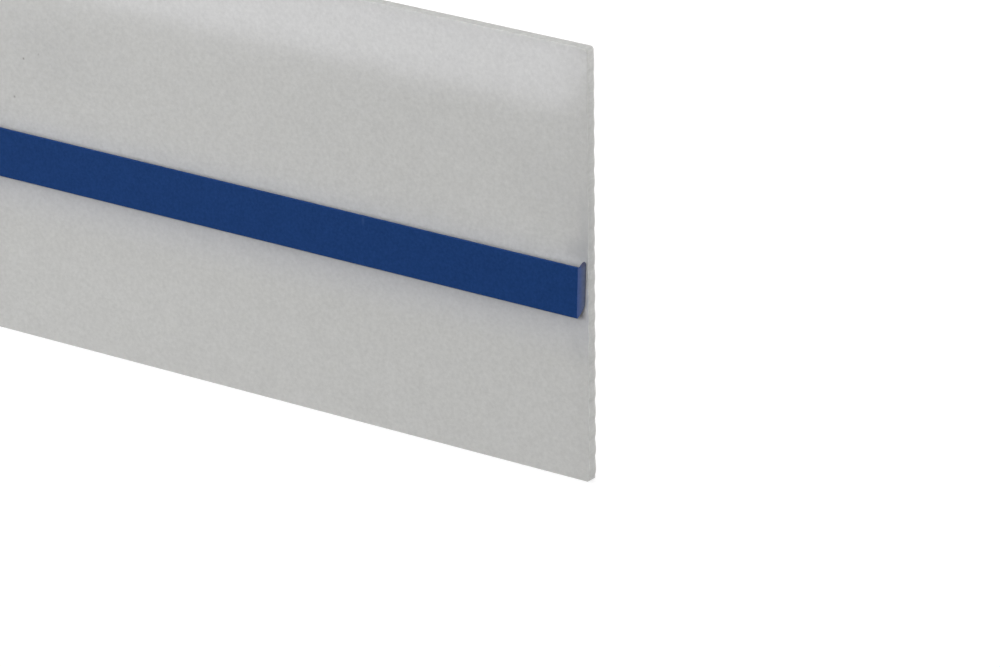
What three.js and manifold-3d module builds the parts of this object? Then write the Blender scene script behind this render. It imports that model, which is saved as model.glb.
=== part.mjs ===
// A length of flat plastic board with one raised strip along it, of the kind fixed along a dock's edge.
// Millimetres, +Z up. The board lies flat with its strip on top. X runs along the stock, towards the end
// that a coarse saw has cut, and Y runs across it. The origin is under the middle of the board.

import * as THREE from 'three';
import { mergeVertices } from 'three/addons/utils/BufferGeometryUtils.js';
import Module from 'manifold-3d';

const wasm = await Module();
wasm.setup();

// Board, blunted at the two corners of its sawn end: the high one on the +Y side and the low one opposite
const boardLength = 1000;
const boardWidth = 200;
const boardThickness = 5;
const boardEdgeRadius = 0.5;
const highCornerRadius = 2;
const lowCornerRadius = 1.2;

// Ripple that the saw left across the board's end, deeper towards the edge that is nearer to the strip
const ripplePitch = 8.9;
const rippleTroughY = -0.4;
const rippleShallowDepth = 0.25;
const rippleFullDepth = 0.5;
const rippleSkew = 1.4;

// Strip, whose sides lean in from its wide face to its narrow, rounded foot
const stripFaceWidth = 24.5;
const stripFootWidth = 17.5;
const stripHeight = 7;
const stripEdgeRadius = 0.5;
const stripFootRadius = 5;
const stripCentreY = -9.5;
const stripSetBack = 0.7;
const stripEndSlant = 0.7;

// Burr at the strip's sawn end, a rounded lip in the hollow under one edge of its face
const burrLength = 0.6;
const burrRise = 5.3;
const burrSpan = 4.6;
const burrPastFace = 0.8;

const arcSteps = 6;
const stepsPerRipple = 8;
const cutterMargin = 10;

// The pieces' surfaces
const boardMaterial = new THREE.MeshStandardMaterial({ color: '#c9cac7', roughness: 0.45, metalness: 0 });
const stripMaterial = new THREE.MeshStandardMaterial({ color: '#1d3969', roughness: 0.5, metalness: 0 });

// A section drawn across the stock is turned so that it runs along X
const alongX = new THREE.Matrix4().makeBasis(
  new THREE.Vector3(0, 1, 0),
  new THREE.Vector3(0, 0, 1),
  new THREE.Vector3(1, 0, 0),
);

function solidFrom(geometry) {
  const bare = geometry.clone();
  bare.deleteAttribute('normal');
  bare.deleteAttribute('uv');
  const merged = mergeVertices(bare);
  return new wasm.Manifold(new wasm.Mesh({
    numProp: 3,
    vertProperties: new Float32Array(merged.attributes.position.array),
    triVerts: new Uint32Array(merged.index.array),
  }));
}

function geometryFrom(solid) {
  const { vertProperties, triVerts } = solid.getMesh();
  const geometry = new THREE.BufferGeometry();
  geometry.setAttribute('position', new THREE.BufferAttribute(new Float32Array(vertProperties), 3));
  geometry.setIndex(new THREE.BufferAttribute(new Uint32Array(triVerts), 1));
  geometry.computeVertexNormals();
  return geometry;
}

function corner(x, y, radius) {
  return { at: new THREE.Vector2(x, y), radius };
}

// A closed outline through its corners, each rounded by its own radius
function roundedOutline(corners) {
  const shape = new THREE.Shape();
  corners.forEach(({ at, radius }, index) => {
    const before = corners[(index + corners.length - 1) % corners.length].at;
    const after = corners[(index + 1) % corners.length].at;
    const toBefore = before.clone().sub(at).normalize();
    const toAfter = after.clone().sub(at).normalize();
    const halfAngle = Math.acos(toBefore.dot(toAfter)) / 2;
    const setback = radius / Math.tan(halfAngle);
    const start = at.clone().addScaledVector(toBefore, setback);
    const end = at.clone().addScaledVector(toAfter, setback);
    const bisector = toBefore.clone().add(toAfter).normalize();
    const centre = at.clone().addScaledVector(bisector, radius / Math.sin(halfAngle));
    const startAngle = start.clone().sub(centre).angle();
    const endAngle = end.clone().sub(centre).angle();
    if (index === 0) {
      shape.moveTo(start.x, start.y);
    } else {
      shape.lineTo(start.x, start.y);
    }
    shape.absarc(centre.x, centre.y, radius, startAngle, endAngle, false);
  });
  shape.closePath();
  return shape;
}

// A section pushed along X, from startX over a length
function runAlongX(section, startX, length) {
  const geometry = new THREE.ExtrudeGeometry(section, {
    depth: length,
    bevelEnabled: false,
    curveSegments: arcSteps,
  });
  geometry.applyMatrix4(alongX);
  geometry.translate(startX, 0, 0);
  return solidFrom(geometry);
}

// A plan outline as a block that reaches past the top and the bottom of a piece of this height
function cutterFromPlan(plan, height) {
  const geometry = new THREE.ExtrudeGeometry(plan, {
    depth: height + 2 * cutterMargin,
    bevelEnabled: false,
    curveSegments: arcSteps,
  });
  geometry.translate(0, 0, -cutterMargin);
  return solidFrom(geometry);
}

// Where the rippled end stands at a place across the board: skewed humps between sharp troughs
function sawnEndX(y) {
  const pitches = (rippleTroughY - y) / ripplePitch;
  const alongHump = pitches - Math.floor(pitches);
  const hump = Math.sin(Math.PI * alongHump ** rippleSkew);
  const depth = THREE.MathUtils.mapLinear(y, boardWidth / 2, -boardWidth / 2, rippleShallowDepth, rippleFullDepth);
  return boardLength / 2 - depth * (1 - hump);
}

// The board seen from above: a square end, two long edges and the rippled end with its rounded corners
function boardPlan() {
  const halfWidth = boardWidth / 2;
  const lowY = -halfWidth + lowCornerRadius;
  const highY = halfWidth - highCornerRadius;
  const steps = Math.ceil(((highY - lowY) * stepsPerRipple) / ripplePitch);
  const plan = new THREE.Shape();
  plan.moveTo(-boardLength / 2, -halfWidth);
  const lowCentreX = sawnEndX(lowY) - lowCornerRadius;
  plan.lineTo(lowCentreX, -halfWidth);
  plan.absarc(lowCentreX, lowY, lowCornerRadius, -Math.PI / 2, 0, false);
  for (let step = 1; step < steps; step += 1) {
    const y = lowY + ((highY - lowY) * step) / steps;
    plan.lineTo(sawnEndX(y), y);
  }
  const highCentreX = sawnEndX(highY) - highCornerRadius;
  plan.absarc(highCentreX, highY, highCornerRadius, 0, Math.PI / 2, false);
  plan.lineTo(-boardLength / 2, halfWidth);
  plan.closePath();
  return plan;
}

function makeBoard() {
  const halfWidth = boardWidth / 2;
  const section = roundedOutline([
    corner(-halfWidth, 0, boardEdgeRadius),
    corner(halfWidth, 0, boardEdgeRadius),
    corner(halfWidth, boardThickness, boardEdgeRadius),
    corner(-halfWidth, boardThickness, boardEdgeRadius),
  ]);
  const slab = runAlongX(section, -boardLength / 2 - cutterMargin, boardLength + 2 * cutterMargin);
  const cut = slab.intersect(cutterFromPlan(boardPlan(), boardThickness));
  const board = new THREE.Mesh(geometryFrom(cut), boardMaterial);
  board.name = 'board';
  return board;
}

// Where the strip's end stands at a place across the strip: it was cut a little out of square
function stripEndX(y) {
  const fromHighEdge = stripFaceWidth / 2 - y;
  return boardLength / 2 - stripSetBack - (stripEndSlant * fromHighEdge) / stripFaceWidth;
}

// The strip seen from above
function stripPlan() {
  const reach = stripFaceWidth / 2 + cutterMargin;
  const plan = new THREE.Shape();
  plan.moveTo(-boardLength / 2, -reach);
  plan.lineTo(stripEndX(-reach), -reach);
  plan.lineTo(stripEndX(reach), reach);
  plan.lineTo(-boardLength / 2, reach);
  plan.closePath();
  return plan;
}

// The burr is part of an upright ellipse that stands on the board and bulges past the face's edge
function burrSection() {
  const highestY = stripFaceWidth / 2 + burrPastFace;
  const section = new THREE.Shape();
  section.absellipse(highestY - burrSpan / 2, burrRise / 2, burrSpan / 2, burrRise / 2, 0, 2 * Math.PI, false);
  return section;
}

function makeRubStrip() {
  const section = roundedOutline([
    corner(-stripFootWidth / 2, 0, stripFootRadius),
    corner(stripFootWidth / 2, 0, stripFootRadius),
    corner(stripFaceWidth / 2, stripHeight, stripEdgeRadius),
    corner(-stripFaceWidth / 2, stripHeight, stripEdgeRadius),
  ]);
  const bar = runAlongX(section, -boardLength / 2 - cutterMargin, boardLength + 2 * cutterMargin);
  const burr = runAlongX(burrSection(), stripEndX(stripFaceWidth / 2) - burrLength, burrLength + cutterMargin);
  const cut = bar.add(burr).intersect(cutterFromPlan(stripPlan(), stripHeight));
  const strip = new THREE.Mesh(geometryFrom(cut), stripMaterial);
  strip.name = 'rub_strip';
  strip.position.set(0, stripCentreY, boardThickness);
  return strip;
}

const bumperStrip = new THREE.Group();
bumperStrip.add(makeBoard(), makeRubStrip());

export default bumperStrip;
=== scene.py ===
import math
import random

import bpy
from mathutils import Matrix, Vector
from mathutils import noise as value_noise


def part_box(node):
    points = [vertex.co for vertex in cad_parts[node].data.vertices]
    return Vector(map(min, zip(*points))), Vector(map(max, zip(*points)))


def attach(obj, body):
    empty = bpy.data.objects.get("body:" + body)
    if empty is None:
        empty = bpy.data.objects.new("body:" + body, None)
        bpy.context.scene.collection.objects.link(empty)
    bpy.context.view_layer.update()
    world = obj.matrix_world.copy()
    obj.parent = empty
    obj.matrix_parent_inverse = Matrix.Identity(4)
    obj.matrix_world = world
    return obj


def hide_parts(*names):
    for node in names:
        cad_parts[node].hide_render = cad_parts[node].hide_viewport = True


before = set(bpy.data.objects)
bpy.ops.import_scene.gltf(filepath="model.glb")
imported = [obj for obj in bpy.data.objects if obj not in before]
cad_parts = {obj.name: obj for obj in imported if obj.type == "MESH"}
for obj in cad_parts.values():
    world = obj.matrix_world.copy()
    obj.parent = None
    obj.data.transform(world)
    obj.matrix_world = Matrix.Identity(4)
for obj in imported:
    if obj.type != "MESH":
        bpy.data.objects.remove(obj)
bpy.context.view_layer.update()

# A length of off-white plastic board with a raised blue strip along it. X runs along the stock towards the
# end that a coarse saw has cut, Y runs across it and Z points up. Lengths are in metres.
MM = 0.001

# Sizes read from the solids
HALF_LENGTH, HALF_WIDTH, BOARD_TOP = Vector(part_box("board")[1])
STRIP_TOP = Vector(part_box("rub_strip")[1]).z

# The board's own small sizes, as in the solids. The high corner is the one on the +Y side.
HIGH_CORNER_RADIUS = 2 * MM
LOW_CORNER_RADIUS = 1.2 * MM
RIPPLE_PITCH = 8.9 * MM
RIPPLE_TROUGH_Y = -0.4 * MM
RIPPLE_SHALLOW = 0.25 * MM
RIPPLE_FULL = 0.5 * MM
RIPPLE_SKEW = 1.4

# The strip's section and end, as in the solids
FACE_WIDTH = 24.5 * MM
FOOT_WIDTH = 17.5 * MM
STRIP_EDGE_RADIUS = 0.5 * MM
FOOT_RADIUS = 5 * MM
STRIP_Y = -9.5 * MM
SET_BACK = 0.7 * MM
END_SLANT = 0.7 * MM
BURR_LENGTH = 0.6 * MM
BURR_RISE = 5.3 * MM
BURR_SPAN = 4.6 * MM
BURR_PAST_FACE = 0.8 * MM

# Fine relief that only this dressed model has. The board's long edges are a little crisper than the solids',
# the strip's sawn end leans back by a hair from its face to its foot, and the saw's teeth have left marks.
BOARD_EDGE_RADIUS = 0.2 * MM
STRIP_END_LEAN = 0.55 * MM
ARRIS_RADIUS = 0.04 * MM
# The tooth marks come from a slice of a noise, and lean by this much along Y for their height
TOOTH_MARK_DEPTH = 0.03 * MM
TOOTH_MARK_PITCH = 1.1 * MM
TOOTH_MARK_LEAN = 0.12
TOOTH_MARK_SLICE = 0.3
# How far a trough strays, in pitches, how far a crest stays back, as a share of the depth, and their seeds
TROUGH_DRIFT = 0.04
CREST_DRIFT = 0.05
TROUGH_SEED = 1
CREST_SEED = 2
SEED_STEP = 1009

# How finely the surfaces are divided
STEPS_PER_RIPPLE = 24
ARRIS_STEPS = 3
BOARD_ARC_STEPS = 6
STRIP_ARC_STEPS = 10
STRIP_SECTION_STEP = 0.5 * MM
BURR_STEPS = 6
END_ROWS = 10
STATIONS_FROM_END = [200 * MM, 60 * MM, 20 * MM, 6 * MM, 2 * MM, 0.6 * MM]
# The strip's arris draws its section in by less where it is nearer than this to the centreline
INSET_FADE = 1 * MM
# The part of the board's edge rounding, from the edge inwards, that counts as edge
EDGE_SHARE = 0.9
# How much more a large face counts than a small one in the shading round a point; 50 is neutral
FLAT_FACE_WEIGHT = 100

# Camera: the photograph's view, from a long way off with a long lens
VIEW_AZIMUTH = math.radians(33.64)
VIEW_ELEVATION = math.radians(49.02)
VIEW_ROLL = math.radians(-117.29)
VIEW_DISTANCE = 2.786
VIEW_AIM = Vector((0.4524, -0.0405, BOARD_TOP))
FOCAL_PIXELS = 6360
PHOTO_WIDTH_PIXELS = 1000
SENSOR_WIDTH = 36
NEAREST_SEEN = 0.01
FARTHEST_SEEN = 50

# Lights. Angles are measured up from the level on the +Y side, seen along X. Sizes are along X and across it.
WORLD = {"Color": (1, 1, 1, 1), "Strength": 0.14}
KEY_ANGLE = math.radians(68)
KEY_DISTANCE = 2.4
KEY_SIZE = (3.0, 0.85)
KEY_RADIANCE = 2.72
KEY_X = -0.5
KEY_AIM = Vector((-0.75, -0.75, 0))
KEY_SPREAD = math.radians(90)
FILL_ANGLE = math.radians(27)
FILL_DISTANCE = 3.0
FILL_SIZE = (6.0, 2.9)
FILL_RADIANCE = 1.35
# The band is a lamp that the board's coat mirrors along its high edge. The places are where the mirrored lamp
# ends on the board. Its narrower tip reaches past the high corner.
BAND_HEIGHT = 1.5
BAND_NEAR_Y = 70.2 * MM
BAND_END_X = 493 * MM
BAND_WIDTH = 0.13
BAND_LENGTH = 1.1
BAND_TIP_NEAR_Y = 84 * MM
BAND_TIP_END_X = 505 * MM
BAND_RADIANCE = 2.87
BAND_COLOUR = (0.86, 0.86, 0.95)

# Floor: it gives off most of its white itself, so that what is cast on it stays faint
FLOOR_REACH = 30
FLOOR = {
    "Base Color": (0.3, 0.3, 0.3, 1),
    "Roughness": 0.9,
    "Specular IOR Level": 0,
    "Emission Color": (1, 1, 1, 1),
    "Emission Strength": 0.78,
}

# The board's plastic, with a fine grain and two sizes of clouds in it, and what its finishes add
BOARD_COLOUR = (0.535, 0.535, 0.523)
BOARD_GRAIN = {"size": 1.9 * MM, "stretch": (1, 1.15, 1), "detail": 3, "rough": 0.6}
BOARD_GRAIN_SWING = 0.185
BOARD_CLOUD = {"size": 9 * MM, "offset": 3}
BOARD_CLOUD_SWING = 0.03
BOARD_WIDE_CLOUD = {"size": 90 * MM, "detail": 1, "offset": 7}
BOARD_WIDE_CLOUD_SWING = 0.012
BOARD_SAW_MARKS = {"size": 0.7 * MM, "stretch": (1, 1, 0.12), "detail": 3, "offset": 5}
BOARD_SAW_MARK_SWING = 0.12
BOARD_EDGE_STREAKS = {"size": 1.2 * MM, "stretch": (0.1, 1, 1), "offset": 5}
BOARD_PLASTIC = {"Subsurface Weight": 0.6, "Subsurface Radius": (1, 1, 0.95), "Subsurface Scale": 3.5 * MM}
BOARD_FINISHES = {
    "face": {"Roughness": 0.42, "Specular IOR Level": 0.3, "Coat Weight": 1, "Coat Roughness": 0.055},
    "sawn": {"Roughness": 0.8, "Specular IOR Level": 0.1},
    "edge": {"Roughness": 0.8, "Specular IOR Level": 0},
}
# Relief of each finish: depth and strength
BOARD_FACE_RELIEF = (0.05 * MM, 0.35)
BOARD_SAWN_RELIEF = (0.1 * MM, 0.5)
BOARD_EDGE_RELIEF = (0.05 * MM, 0.4)

# Painted shades and painted light in the board's colour, each a factor that is reached smoothly. A shade at
# the very rim ends this far before it.
RIM_MARGIN = 0.3 * MM
# The face has painted shade towards its sawn end and close to its two long edges
END_SHADE_REACH = 14 * MM
END_SHADE = 0.962
HIGH_EDGE_REACH = 7 * MM
HIGH_EDGE_SHADE = 0.93
HIGH_RIM_REACH = 1.2 * MM
HIGH_RIM_SHADE = 0.96
LOW_EDGE_REACH = 4 * MM
LOW_EDGE_SHADE = 0.975
# Light gathers in the plastic at the sawn end's upper arris, so painted shade darkens the colour on both
# sides of it. On the face the painted shade eases towards the high corner.
ARRIS_SHADE_REACH = 1.2 * MM
ARRIS_SHADE = 0.895
ARRIS_EASE_FROM = 75 * MM
ARRIS_EASE_TO = 98 * MM
ARRIS_EASE = 1.095
# The long edges' painted shade, and their painted rise in tone from the back to the face
EDGE_SHADE = 0.695
EDGE_RISE = 1.04
# The sawn end's painted light, its painted rise in tone towards the high corner, and the painted shade of
# that corner's rounding
SAWN_LIFT = 1.02
SAWN_RISE_FROM = 62 * MM
SAWN_RISE_TO = 98 * MM
SAWN_RISE = 1.095
HIGH_CORNER_SHADE = 0.72

# Darker grey patches on the board, strongest round the strip's end; the last two, broad ones are painted
# shade: centre x and y, radii along x and y, strength
DARK_PATCH_AND_SHADE_COLOUR = (0.33, 0.335, 0.35)
DARK_PATCHES_AND_SHADE = [
    (499 * MM, 15 * MM, 7 * MM, 30 * MM, 0.41),
    (495.5 * MM, 7.5 * MM, 13 * MM, 9 * MM, 0.42),
    (489 * MM, 18 * MM, 8 * MM, 14 * MM, 0.08),
    (499 * MM, -30 * MM, 5 * MM, 8 * MM, 0.1),
    (494.5 * MM, -39 * MM, 12 * MM, 12 * MM, 0.2),
    (493.3 * MM, -35.7 * MM, 2.2 * MM, 3.5 * MM, 0.12),
    (483 * MM, 36 * MM, 36 * MM, 30 * MM, 0.085),
    (203 * MM, 40 * MM, 45 * MM, 30 * MM, 0.1),
]
DARK_PATCH_AND_SHADE_DEPTH = 12 * MM
DARK_PATCH_AND_SHADE_SHARE_ON_END = 0.4
# A faint painted blue bounce light beside the strip, on the side that no light thrown back by the strip
# reaches
PAINTED_BLUE_BOUNCE = (0.48, 0.51, 0.67)
PAINTED_BLUE_BOUNCE_REACH = 26 * MM
PAINTED_BLUE_BOUNCE_SHARE = 0.17
# Painted light on the board in the corner below the strip's end, lightening the strip's shadow there: centre,
# radii, strength
PAINTED_LIGHT_PATCH_COLOUR = (0.72, 0.71, 0.705)
PAINTED_LIGHT_PATCH = (497 * MM, -20.6 * MM, 3.6 * MM, 5.2 * MM, 0.8)
# Small dark specks in the board's face: x, y, radius, strength
SPECK_COLOUR = (0.2, 0.19, 0.18)
SPECKS = [
    (185.6 * MM, 35.8 * MM, 1.0 * MM, 0.8),
    (179.3 * MM, 16.2 * MM, 1.0 * MM, 0.7),
    (194.6 * MM, 39.5 * MM, 0.8 * MM, 0.4),
]

# The strip's plastic, between a dark and a light tone of its grain, and what its finishes add
STRIP_DARK = (0, 0.022, 0.085)
STRIP_LIGHT = (0.0144, 0.0512, 0.197)
STRIP_GRAIN = {"size": 1.3 * MM, "detail": 3, "rough": 0.6}
STRIP_CLOUD = {"size": 12 * MM, "offset": 3}
STRIP_CLOUD_SWING = 0.08
STRIP_SAW_MARKS = {"size": 0.6 * MM, "stretch": (1, 1, 0.15), "detail": 3, "offset": 5}
STRIP_SAW_MARK_SWING = 0.25
STRIP_FINISHES = {
    "face": {"Roughness": 0.4, "Specular IOR Level": 0.15},
    "sawn": {"Roughness": 0.75, "Specular IOR Level": 0.1},
}
STRIP_FACE_RELIEF = (0.04 * MM, 0.3)
STRIP_SAWN_RELIEF = (0.1 * MM, 0.6)
# A short scratch on the face
SCRATCH_COLOUR = (0.03, 0.07, 0.2)
SCRATCH_AT = (383.6 * MM, 0.1 * MM, STRIP_TOP)
SCRATCH_RADII = (1.2 * MM, 3.2 * MM, 1 * MM)
SCRATCH_STRENGTH = 0.6
# The sawn end, which is greyer than the face, and its burr
SAWN_NEAR_FACE = (0.056, 0.098, 0.266)
SAWN_NEAR_FOOT = (0.115, 0.137, 0.21)
BURR_COLOUR = (0.083, 0.085, 0.147)
BURR_AT = (HALF_LENGTH - SET_BACK, STRIP_Y + 0.5 * FACE_WIDTH, BOARD_TOP + 0.5 * BURR_RISE)
BURR_RADII = (2.5 * MM, 3 * MM, 3.5 * MM)
BURR_STRENGTH = 1

# Which of a piece's materials a face takes
FACE_LOOK, SAWN_LOOK, EDGE_LOOK = range(3)


def set_inputs(node, values):
    """Sets values on a node's own sockets, by the sockets' names."""
    for name, value in values.items():
        node.inputs[name].default_value = value


def add_camera():
    """Adds the camera, which looks back along a line from its aim and is rolled about that line."""
    back = Vector((
        math.cos(VIEW_AZIMUTH) * math.cos(VIEW_ELEVATION),
        math.sin(VIEW_AZIMUTH) * math.cos(VIEW_ELEVATION),
        math.sin(VIEW_ELEVATION),
    ))
    level_right = Vector((0, 0, 1)).cross(back).normalized()
    level_up = back.cross(level_right)
    right = math.cos(VIEW_ROLL) * level_right + math.sin(VIEW_ROLL) * level_up
    up = back.cross(right)
    data = bpy.data.cameras.new("camera")
    data.sensor_width = SENSOR_WIDTH
    data.lens = FOCAL_PIXELS * SENSOR_WIDTH / PHOTO_WIDTH_PIXELS
    data.clip_start = NEAREST_SEEN
    data.clip_end = FARTHEST_SEEN
    camera = bpy.data.objects.new("camera", data)
    turn = Matrix((right, up, back)).transposed().to_4x4()
    camera.matrix_world = Matrix.Translation(VIEW_AIM + back * VIEW_DISTANCE) @ turn
    bpy.context.collection.objects.link(camera)
    bpy.context.scene.camera = camera


def add_area_light(name, place, aim, size, radiance, colour=(1, 1, 1), spread=math.pi):
    """An area light of the given length along X and width across it, whose radiance, not power, is stated."""
    data = bpy.data.lights.new(name, "AREA")
    data.shape = "RECTANGLE"
    data.size, data.size_y = size
    data.color = colour
    data.spread = spread
    data.energy = radiance * math.pi * size[0] * size[1]
    light = bpy.data.objects.new(name, data)
    to_aim = (Vector(aim) - Vector(place)).normalized()
    upward = (-to_aim).cross(Vector((1, 0, 0))).normalized()
    across = upward.cross(-to_aim)
    turn = Matrix((across, upward, -to_aim)).transposed().to_4x4()
    light.matrix_world = Matrix.Translation(place) @ turn
    light.visible_camera = False
    bpy.context.collection.objects.link(light)


def mirror_point(x, y, height):
    """The point at a height above the board that the camera sees mirrored at this place on its face."""
    eye = bpy.context.scene.camera.matrix_world.translation
    on_face = Vector((x, y, BOARD_TOP))
    stretch = height / (eye.z - BOARD_TOP)
    return on_face + Vector(((on_face.x - eye.x) * stretch, (on_face.y - eye.y) * stretch, height))


def add_band(name, start_x, end_x, near_y, far_y):
    """A lamp that faces down, high over the board, between these bounds."""
    middle = Vector(((start_x + end_x) / 2, (near_y + far_y) / 2, BOARD_TOP + BAND_HEIGHT))
    below = middle - Vector((0, 0, 1))
    add_area_light(name, middle, below, (end_x - start_x, far_y - near_y), BAND_RADIANCE, BAND_COLOUR)


def add_lights():
    """Adds a dim world, a key and a fill light on the +Y side, and the band with its tip."""
    world = bpy.data.worlds.new("studio")
    world.use_nodes = True
    set_inputs(world.node_tree.nodes["Background"], WORLD)
    bpy.context.scene.world = world
    aim = Vector((HALF_LENGTH, 0, BOARD_TOP))
    key_place = aim + Vector((KEY_X, KEY_DISTANCE * math.cos(KEY_ANGLE), KEY_DISTANCE * math.sin(KEY_ANGLE)))
    key_aim = aim + Vector((KEY_X, 0, 0)) + KEY_AIM
    add_area_light("key", key_place, key_aim, KEY_SIZE, KEY_RADIANCE, spread=KEY_SPREAD)
    fill_place = aim + FILL_DISTANCE * Vector((0, math.cos(FILL_ANGLE), math.sin(FILL_ANGLE)))
    add_area_light("fill", fill_place, aim, FILL_SIZE, FILL_RADIANCE)
    corner = mirror_point(BAND_END_X, BAND_NEAR_Y, BAND_HEIGHT)
    tip = mirror_point(BAND_TIP_END_X, BAND_TIP_NEAR_Y, BAND_HEIGHT)
    far_y = corner.y + BAND_WIDTH
    add_band("band", corner.x - BAND_LENGTH, corner.x, corner.y, far_y)
    add_band("band tip", corner.x, tip.x, tip.y, far_y)
    bpy.context.scene.view_settings.view_transform = "Standard"


def add_floor():
    """Adds a wide, plain, pale floor."""
    low, high = -FLOOR_REACH, FLOOR_REACH
    mesh = bpy.data.meshes.new("floor")
    mesh.from_pydata([(low, low, 0), (high, low, 0), (high, high, 0), (low, high, 0)], [], [(0, 1, 2, 3)])
    floor = bpy.data.objects.new("floor", mesh)
    bpy.context.collection.objects.link(floor)
    material = bpy.data.materials.new("floor")
    material.use_nodes = True
    set_inputs(material.node_tree.nodes["Principled BSDF"], FLOOR)
    mesh.materials.append(material)


class Nodes:
    """A short way to add and join a material's nodes."""

    def __init__(self, name):
        self.material = bpy.data.materials.new(name)
        self.material.use_nodes = True
        self.tree = self.material.node_tree
        self.shader = self.tree.nodes["Principled BSDF"]
        self.place = self.add("ShaderNodeTexCoord").outputs["Object"]

    def add(self, kind, **settings):
        """Adds a node of a kind."""
        node = self.tree.nodes.new(kind)
        for key, value in settings.items():
            setattr(node, key, value)
        return node

    def join(self, source, target):
        """Links an output to a socket, or sets the socket to a plain value."""
        if hasattr(source, "links"):
            self.tree.links.new(source, target)
        else:
            target.default_value = source

    def maths(self, operation, *values):
        """Works with numbers."""
        node = self.add("ShaderNodeMath", operation=operation)
        for value, socket in zip(values, node.inputs):
            self.join(value, socket)
        return node.outputs["Value"]

    def vector(self, operation, *values, output="Vector"):
        """Works with vectors."""
        node = self.add("ShaderNodeVectorMath", operation=operation)
        for value, socket in zip(values, node.inputs):
            self.join(value, socket)
        return node.outputs[output]

    def product(self, result, *factors):
        """Multiplies numbers, from the first to the last."""
        for factor in factors:
            result = self.maths("MULTIPLY", result, factor)
        return result

    def noise(self, size, stretch=(1, 1, 1), detail=2, rough=0.5, offset=0):
        """Noise whose grain has about the given size, stretched along the axes; 0.5 on average."""
        node = self.add("ShaderNodeTexNoise", noise_dimensions="4D")
        self.join(self.vector("MULTIPLY", self.place, stretch), node.inputs["Vector"])
        set_inputs(node, {"W": offset, "Scale": 1 / size, "Detail": detail, "Roughness": rough})
        return node.outputs["Fac"]

    def swing(self, noise, amount):
        """Turns a noise into a factor about 1."""
        return self.maths("MULTIPLY_ADD", noise, 2 * amount, 1 - amount)

    def coordinate(self, axis):
        """The place along an axis."""
        node = self.add("ShaderNodeSeparateXYZ")
        self.join(self.place, node.inputs["Vector"])
        return node.outputs[axis]

    def ramp(self, value, start, end, low=0.0, high=1.0):
        """Goes smoothly from low to high as the value goes from start to end."""
        node = self.add("ShaderNodeMapRange", interpolation_type="SMOOTHSTEP")
        set_inputs(node, {"From Min": start, "From Max": end, "To Min": low, "To Max": high})
        self.join(value, node.inputs["Value"])
        return node.outputs["Result"]

    def times(self, colour, factor):
        """A colour times a number."""
        node = self.add("ShaderNodeVectorMath", operation="SCALE")
        self.join(colour, node.inputs[0])
        self.join(factor, node.inputs["Scale"])
        return node.outputs["Vector"]

    def mix(self, factor, first, second):
        """Goes from the first colour to the second as the factor goes from 0 to 1."""
        node = self.add("ShaderNodeMix", data_type="RGBA")
        self.join(factor, node.inputs["Factor"])
        for colour, socket in ((first, node.inputs["A"]), (second, node.inputs["B"])):
            self.join(colour + (1,) if isinstance(colour, tuple) else colour, socket)
        return node.outputs["Result"]

    def bump(self, height, distance, strength):
        """Gives the shader a fine relief."""
        node = self.add("ShaderNodeBump")
        self.join(height, node.inputs["Height"])
        set_inputs(node, {"Distance": distance, "Strength": strength})
        self.join(node.outputs["Normal"], self.shader.inputs["Normal"])

    def near(self, centre, radii):
        """How near a place is to a centre: 1 there, falling to 0 at the given radii along the axes."""
        shrunk = self.vector("DIVIDE", self.vector("SUBTRACT", self.place, centre), radii)
        return self.ramp(self.vector("LENGTH", shrunk, output="Value"), 1, 0)

    def spot(self, colour, paint, centre, radii, strength):
        """Mixes a paint into the colour near a centre, with the given strength right there."""
        return self.mix(self.product(self.near(centre, radii), strength), colour, paint)

    def finish(self, colour, settings):
        """Gives the shader its colour and its uniform values."""
        self.join(colour, self.shader.inputs["Base Color"])
        set_inputs(self.shader, settings)
        return self.material


def with_dark_patches_and_shade(nodes, colour, share):
    """The board's colour with this share of its darker patches, the broad ones painted shade."""
    for x, y, radius_x, radius_y, strength in DARK_PATCHES_AND_SHADE:
        radii = (radius_x, radius_y, DARK_PATCH_AND_SHADE_DEPTH)
        colour = nodes.spot(colour, DARK_PATCH_AND_SHADE_COLOUR, (x, y, BOARD_TOP), radii, share * strength)
    return colour


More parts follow.
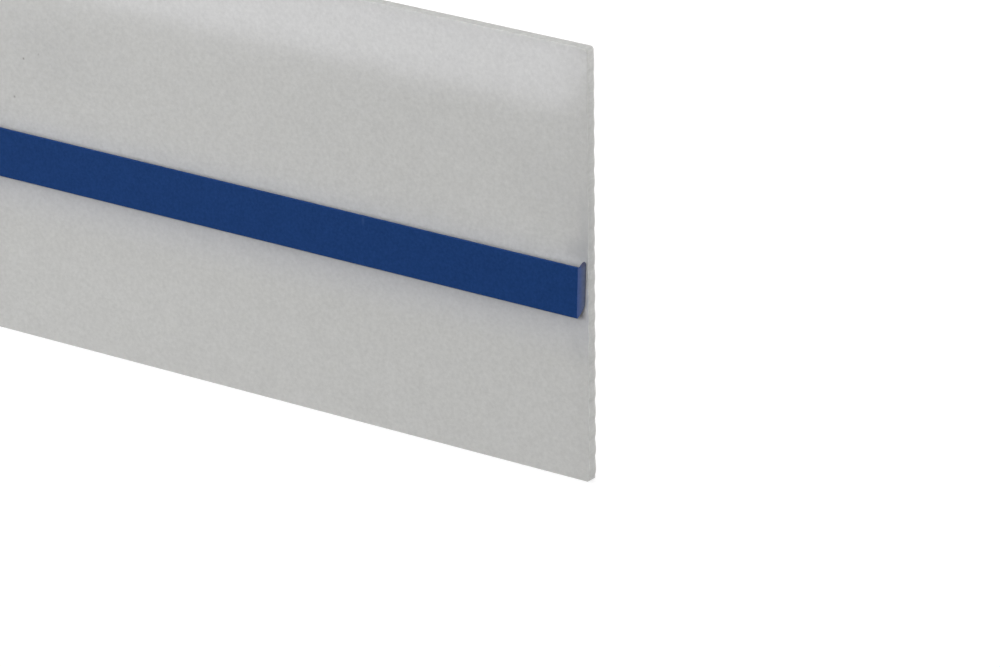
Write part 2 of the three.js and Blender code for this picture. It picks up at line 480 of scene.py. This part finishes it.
def board_face_colour(nodes, tone):
    """The board's face: painted shade beside its edges and its sawn end, a painted blue bounce, darker
    patches, some of them painted shade, painted light below the strip's end, and specks.
    """
    along = nodes.coordinate("X")
    across = nodes.coordinate("Y")
    # painted shade towards the sawn end, at the arris, and along both long edges
    end_shade = nodes.ramp(along, HALF_LENGTH - END_SHADE_REACH, HALF_LENGTH, 1, END_SHADE)
    by_arris = nodes.ramp(along, HALF_LENGTH - ARRIS_SHADE_REACH, HALF_LENGTH - RIM_MARGIN)
    arris_loss = nodes.ramp(
        across, ARRIS_EASE_FROM, ARRIS_EASE_TO, ARRIS_SHADE - 1, ARRIS_SHADE * ARRIS_EASE - 1)
    arris_shade = nodes.maths("MULTIPLY_ADD", by_arris, arris_loss, 1)
    high_shade = nodes.ramp(across, HALF_WIDTH - HIGH_EDGE_REACH, HALF_WIDTH, 1, HIGH_EDGE_SHADE)
    low_shade = nodes.ramp(across, -HALF_WIDTH + LOW_EDGE_REACH, -HALF_WIDTH, 1, LOW_EDGE_SHADE)
    rim_shade = nodes.ramp(
        across, HALF_WIDTH - HIGH_RIM_REACH, HALF_WIDTH - RIM_MARGIN, 1, HIGH_RIM_SHADE)
    tone = nodes.product(tone, end_shade, arris_shade, nodes.product(high_shade, low_shade), rim_shade)
    colour = nodes.times(BOARD_COLOUR, tone)
    # painted blue bounce light below the strip
    strip_low_y = STRIP_Y - 0.5 * FACE_WIDTH
    from_strip = nodes.ramp(across, strip_low_y - PAINTED_BLUE_BOUNCE_REACH, strip_low_y, 0, PAINTED_BLUE_BOUNCE_SHARE)
    below_strip = nodes.maths("LESS_THAN", across, STRIP_Y)
    colour = nodes.mix(nodes.product(from_strip, below_strip), colour, PAINTED_BLUE_BOUNCE)
    # darker patches; the two broad ones are painted shade
    colour = with_dark_patches_and_shade(nodes, colour, 1)
    # painted light in the strip's shadow below its end
    x, y, radius_x, radius_y, strength = PAINTED_LIGHT_PATCH
    colour = nodes.spot(colour, PAINTED_LIGHT_PATCH_COLOUR, (x, y, BOARD_TOP), (radius_x, radius_y, radius_y), strength)
    for x, y, radius, strength in SPECKS:
        colour = nodes.spot(colour, SPECK_COLOUR, (x, y, BOARD_TOP), (radius, radius, radius), strength)
    return colour


def board_sawn_colour(nodes, tone):
    """The board's sawn end: painted shade at its arris and its high corner's rounding, painted light over it
    and towards the high corner, and a share of the darker patches.
    """
    across = nodes.coordinate("Y")
    up = nodes.coordinate("Z")
    # painted shade at the arris and on the high corner's rounding, and painted light over the end and towards
    # the high corner
    arris_shade = nodes.ramp(up, BOARD_TOP - ARRIS_SHADE_REACH, BOARD_TOP, 1, ARRIS_SHADE)
    rise = nodes.ramp(across, SAWN_RISE_FROM, SAWN_RISE_TO, 1, SAWN_RISE)
    corner_shade = nodes.ramp(
        across, HALF_WIDTH - HIGH_CORNER_RADIUS, HALF_WIDTH - RIM_MARGIN, 1, HIGH_CORNER_SHADE)
    lifted = [SAWN_LIFT * part for part in BOARD_COLOUR]
    colour = nodes.times(lifted, nodes.product(tone, arris_shade, rise, corner_shade))
    return with_dark_patches_and_shade(nodes, colour, DARK_PATCH_AND_SHADE_SHARE_ON_END)


def board_material(finish):
    """The board's plastic. Its finish is its satin face, its sawn end or its plain long edge."""
    nodes = Nodes("board_" + finish)
    grain = nodes.noise(**BOARD_GRAIN)
    tone = nodes.product(
        nodes.swing(grain, BOARD_GRAIN_SWING),
        nodes.swing(nodes.noise(**BOARD_CLOUD), BOARD_CLOUD_SWING),
        nodes.swing(nodes.noise(**BOARD_WIDE_CLOUD), BOARD_WIDE_CLOUD_SWING),
    )
    if finish == "face":
        nodes.bump(grain, *BOARD_FACE_RELIEF)
        colour = board_face_colour(nodes, tone)
    elif finish == "sawn":
        marks = nodes.noise(**BOARD_SAW_MARKS)
        nodes.bump(marks, *BOARD_SAWN_RELIEF)
        colour = board_sawn_colour(nodes, nodes.product(tone, nodes.swing(marks, BOARD_SAW_MARK_SWING)))
    else:
        nodes.bump(nodes.noise(**BOARD_EDGE_STREAKS), *BOARD_EDGE_RELIEF)
        # painted shade on the long edge, with a painted rise in tone towards the face
        rise = nodes.ramp(nodes.coordinate("Z"), 0, BOARD_TOP, 1, EDGE_RISE)
        colour = nodes.times([EDGE_SHADE * part for part in BOARD_COLOUR], nodes.product(tone, rise))
    return nodes.finish(colour, BOARD_PLASTIC | BOARD_FINISHES[finish])


def strip_material(finish):
    """The strip's plastic. Its finish is its satin face or its sawn end."""
    nodes = Nodes("strip_" + finish)
    tone = nodes.swing(nodes.noise(**STRIP_CLOUD), STRIP_CLOUD_SWING)
    if finish == "face":
        grain = nodes.noise(**STRIP_GRAIN)
        nodes.bump(grain, *STRIP_FACE_RELIEF)
        colour = nodes.times(nodes.mix(grain, STRIP_DARK, STRIP_LIGHT), tone)
        colour = nodes.spot(colour, SCRATCH_COLOUR, SCRATCH_AT, SCRATCH_RADII, SCRATCH_STRENGTH)
    else:
        marks = nodes.noise(**STRIP_SAW_MARKS)
        nodes.bump(marks, *STRIP_SAWN_RELIEF)
        from_foot = nodes.ramp(nodes.coordinate("Z"), BOARD_TOP, STRIP_TOP)
        colour = nodes.mix(from_foot, SAWN_NEAR_FOOT, SAWN_NEAR_FACE)
        colour = nodes.spot(colour, BURR_COLOUR, BURR_AT, BURR_RADII, BURR_STRENGTH)
        colour = nodes.times(colour, nodes.product(tone, nodes.swing(marks, STRIP_SAW_MARK_SWING)))
    return nodes.finish(colour, STRIP_FINISHES[finish])


def jitter(index, seed):
    """A steady random number from -1 to 1 for an index."""
    return random.Random(seed * SEED_STEP + index).uniform(-1, 1)


def trough(index):
    """Where a trough of the ripple lies, in pitches: each is a little off its even place."""
    return index + TROUGH_DRIFT * jitter(index, TROUGH_SEED)


def board_end_x(y):
    """Where the board's rippled end stands: skewed humps, each a little different from the next."""
    pitches = (RIPPLE_TROUGH_Y - y) / RIPPLE_PITCH
    index = math.floor(pitches)
    if pitches < trough(index):
        index -= 1
    elif pitches > trough(index + 1):
        index += 1
    along = (pitches - trough(index)) / (trough(index + 1) - trough(index))
    hump = math.sin(math.pi * along ** RIPPLE_SKEW)
    share = (HALF_WIDTH - y) / (2 * HALF_WIDTH)
    depth = RIPPLE_SHALLOW + share * (RIPPLE_FULL - RIPPLE_SHALLOW)
    crest = CREST_DRIFT * depth * (1 + jitter(index, CREST_SEED))
    x = HALF_LENGTH - crest - (depth - crest) * (1 - hump)
    radius = HIGH_CORNER_RADIUS if y > 0 else LOW_CORNER_RADIUS
    past = abs(y) - (HALF_WIDTH - radius)
    if past > 0:
        x -= radius - math.sqrt(max(radius ** 2 - past ** 2, 0))
    return x


def strip_end_x(y, z):
    """Where the strip's sawn end stands at a place across it and a height above the board."""
    from_high_edge = FACE_WIDTH / 2 - y
    from_face = STRIP_TOP - BOARD_TOP - z
    lean = STRIP_END_LEAN * from_face / (STRIP_TOP - BOARD_TOP)
    return HALF_LENGTH - SET_BACK - END_SLANT * from_high_edge / FACE_WIDTH - lean


def square_at(x):
    """The x of a square cross-section, at any place in it."""
    return lambda *place: x


def behind(end_x, distance):
    """The x of a cross-section that follows an end's shape at a distance behind it."""
    return lambda *place: end_x(*place) - distance


def arris_arc():
    """Pairs of distances round a cut end's arris: the first grows from 0 as the second shrinks to 0."""
    turns = [0.5 * math.pi * step / ARRIS_STEPS for step in range(ARRIS_STEPS + 1)]
    return [(ARRIS_RADIUS * (1 - math.cos(turn)), ARRIS_RADIUS * (1 - math.sin(turn))) for turn in turns]


def on_arris(ring, count):
    """Whether the surface from this ring to the next, out of a count of rings, is the arris of an end."""
    return ring < ARRIS_STEPS or ring >= count - 1 - ARRIS_STEPS


def faces_between(starts, size):
    """Faces that join each ring of points to the next: ring, two neighbours in it and the face's points."""
    for ring in range(len(starts) - 1):
        first, second = starts[ring], starts[ring + 1]
        for k in range(size):
            after = (k + 1) % size
            yield ring, k, after, (first + k, first + after, second + after, second + k)


def rounded_outline(corners, arc_steps):
    """A closed outline through corners (y, z, radius), each rounded, walked anticlockwise."""
    points = []
    for index, (y, z, radius) in enumerate(corners):
        at = Vector((y, z))
        to_before = (Vector(corners[index - 1][:2]) - at).normalized()
        to_after = (Vector(corners[(index + 1) % len(corners)][:2]) - at).normalized()
        half = math.acos(max(-1, min(1, to_before.dot(to_after)))) / 2
        centre = at + (to_before + to_after).normalized() * (radius / math.sin(half))
        start = at + to_before * (radius / math.tan(half)) - centre
        sweep = math.pi - 2 * half
        for step in range(arc_steps + 1):
            angle = sweep * step / arc_steps
            turned = Vector((
                start.x * math.cos(angle) - start.y * math.sin(angle),
                start.x * math.sin(angle) + start.y * math.cos(angle),
            ))
            points.append(centre + turned)
    return points


def new_piece(name, points, faces, materials, face_materials):
    """Adds a smooth piece of the scene that rides on the one body."""
    mesh = bpy.data.meshes.new(name)
    mesh.from_pydata(points, [], faces)
    for material in materials:
        mesh.materials.append(material)
    for polygon, index in zip(mesh.polygons, face_materials):
        polygon.material_index = index
        polygon.use_smooth = True
    mesh.validate()
    piece = bpy.data.objects.new(name, mesh)
    bpy.context.collection.objects.link(piece)
    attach(piece, "root")
    return piece


def sharpen_normals(piece):
    """Keeps flat faces flat beside their small rounded edges."""
    modifier = piece.modifiers.new("flat faces", "WEIGHTED_NORMAL")
    modifier.keep_sharp = True
    modifier.weight = FLAT_FACE_WEIGHT
    with bpy.context.temp_override(object=piece, active_object=piece, selected_objects=[piece]):
        bpy.ops.object.modifier_apply(modifier=modifier.name)


def board_columns():
    """Places across the board, close together along the ripple and in its rounded edges."""
    turns = [0.5 * math.pi * step / BOARD_ARC_STEPS for step in range(BOARD_ARC_STEPS + 1)]
    arc = [BOARD_EDGE_RADIUS * (1 - math.cos(turn)) for turn in turns]
    inner = HALF_WIDTH - BOARD_EDGE_RADIUS
    steps = math.ceil(2 * inner / RIPPLE_PITCH * STEPS_PER_RIPPLE)
    columns = [-HALF_WIDTH + a for a in arc]
    columns += [-inner + 2 * inner * step / steps for step in range(1, steps)]
    columns += [HALF_WIDTH - a for a in reversed(arc)]
    return columns


def board_place(y, row, inset):
    """A place in the board's section: across it, up it by rows, and drawn in by the inset."""
    past = abs(y) - (HALF_WIDTH - BOARD_EDGE_RADIUS)
    flat = BOARD_TOP / 2 - BOARD_EDGE_RADIUS
    half_height = flat + math.sqrt(max(BOARD_EDGE_RADIUS ** 2 - max(past, 0) ** 2, 0)) - inset
    return y * (1 - inset / HALF_WIDTH), BOARD_TOP / 2 + half_height * (2 * (row / END_ROWS) - 1)


def tooth_mark(y, z):
    """How far the saw's teeth have cut into the board's end at a place on it, as a step along X."""
    place = Vector(((y + TOOTH_MARK_LEAN * z) / TOOTH_MARK_PITCH, TOOTH_MARK_SLICE, 0))
    return TOOTH_MARK_DEPTH * (value_noise.noise(place) - 1) / 2


def make_board():
    """Makes the board from rings round its section, set along its length, and a grid on each end."""
    columns = board_columns()
    last = len(columns) - 1
    loop = [(column, END_ROWS) for column in range(last, -1, -1)]
    loop += [(0, row) for row in range(END_ROWS - 1, 0, -1)]
    loop += [(column, 0) for column in range(last + 1)]
    loop += [(last, row) for row in range(1, END_ROWS)]
    arris_start = behind(board_end_x, ARRIS_RADIUS)
    rings = [(square_at(-HALF_LENGTH + from_end), inset) for from_end, inset in arris_arc()]
    rings += [(behind(arris_start, distance), 0) for distance in STATIONS_FROM_END]
    rings += [(behind(board_end_x, back), inset) for inset, back in arris_arc()]

    points = []
    faces = []
    looks = []
    starts = []
    for x_of, inset in rings:
        starts.append(len(points))
        for column, row in loop:
            y, z = board_place(columns[column], row, inset)
            points.append((x_of(y), y, z))

    in_edge = [abs(columns[column]) > HALF_WIDTH - EDGE_SHARE * BOARD_EDGE_RADIUS for column, _ in loop]
    for ring, k, after, face in faces_between(starts, len(loop)):
        faces.append(face)
        if on_arris(ring, len(rings)):
            looks.append(SAWN_LOOK)
        else:
            looks.append(EDGE_LOOK if in_edge[k] and in_edge[after] else FACE_LOOK)

    for ring, is_sawn_end in ((0, False), (-1, True)):
        x_of, inset = rings[ring]
        grid = {place: starts[ring] + k for k, place in enumerate(loop)}
        for column in range(1, last):
            for row in range(1, END_ROWS):
                y, z = board_place(columns[column], row, inset)
                grid[column, row] = len(points)
                points.append((x_of(y) + (tooth_mark(y, z) if is_sawn_end else 0), y, z))
        for column in range(last):
            for row in range(END_ROWS):
                corners = ((column, row), (column + 1, row), (column + 1, row + 1), (column, row + 1))
                quad = tuple(grid[corner] for corner in corners)
                faces.append(quad if is_sawn_end else quad[::-1])
                looks.append(SAWN_LOOK)

    materials = [board_material(finish) for finish in ("face", "sawn", "edge")]
    board = new_piece("sawn_board", points, faces, materials, looks)
    sharpen_normals(board)
    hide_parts("board")


def burr_reach(z):
    """How far out from the strip's centreline the burr's rounded lip comes at a height above the board."""
    centre = FACE_WIDTH / 2 + BURR_PAST_FACE - BURR_SPAN / 2
    rise = z / (BURR_RISE / 2) - 1
    if abs(rise) >= 1:
        return 0
    return centre + BURR_SPAN / 2 * math.sqrt(1 - rise ** 2)


def strip_section():
    """The strip's outline, as places across it and heights above the board that lie close together."""
    height = STRIP_TOP - BOARD_TOP
    outline = rounded_outline([
        (-FOOT_WIDTH / 2, 0, FOOT_RADIUS),
        (FOOT_WIDTH / 2, 0, FOOT_RADIUS),
        (FACE_WIDTH / 2, height, STRIP_EDGE_RADIUS),
        (-FACE_WIDTH / 2, height, STRIP_EDGE_RADIUS),
    ], STRIP_ARC_STEPS)
    section = []
    for index, point in enumerate(outline):
        after = outline[(index + 1) % len(outline)]
        parts = max(1, math.ceil((after - point).length / STRIP_SECTION_STEP))
        section += [point.lerp(after, k / parts) for k in range(parts)]
    return section


def strip_place(y, z, inset, burr):
    """A place in the strip's section, pushed out by a share of the burr and drawn in by the inset."""
    if y > 0 and burr:
        y = max(y, y + (burr_reach(z) - y) * burr)
    middle = Vector((0, (STRIP_TOP - BOARD_TOP) / 2))
    inward = middle - Vector((y, z))
    y += inset * max(-1, min(1, inward.x / INSET_FADE))
    z += inset * (inward.y / ((STRIP_TOP - BOARD_TOP) / 2))
    return y, z


def make_strip():
    """Makes the strip from rings round its section, set along its length, with the burr at its sawn end."""
    section = strip_section()
    size = len(section)
    arris_start = behind(strip_end_x, ARRIS_RADIUS)
    rings = [(square_at(-HALF_LENGTH + from_end), inset, 0) for from_end, inset in arris_arc()]
    rings += [(behind(strip_end_x, distance), 0, 0) for distance in STATIONS_FROM_END[:-1]]
    for step in range(BURR_STEPS):
        share = step / BURR_STEPS
        rings.append((behind(arris_start, BURR_LENGTH * (1 - share)), 0, math.sin(0.5 * math.pi * share)))
    rings += [(behind(strip_end_x, back), inset, 1) for inset, back in arris_arc()]

    points = []
    starts = []
    for x_of, inset, burr in rings:
        starts.append(len(points))
        for point in section:
            y, z = strip_place(*point, inset, burr)
            points.append((x_of(y, z), STRIP_Y + y, BOARD_TOP + z))

    faces = []
    looks = []
    for ring, _, _, face in faces_between(starts, size):
        faces.append(face)
        looks.append(SAWN_LOOK if on_arris(ring, len(rings)) else FACE_LOOK)
    faces.append(tuple(reversed(range(starts[0], starts[0] + size))))
    faces.append(tuple(range(starts[-1], starts[-1] + size)))
    looks += [SAWN_LOOK, SAWN_LOOK]

    materials = [strip_material(finish) for finish in ("face", "sawn")]
    strip = new_piece("blue_strip", points, faces, materials, looks)
    sharpen_normals(strip)
    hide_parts("rub_strip")


add_camera()
add_floor()
add_lights()
make_board()
make_strip()
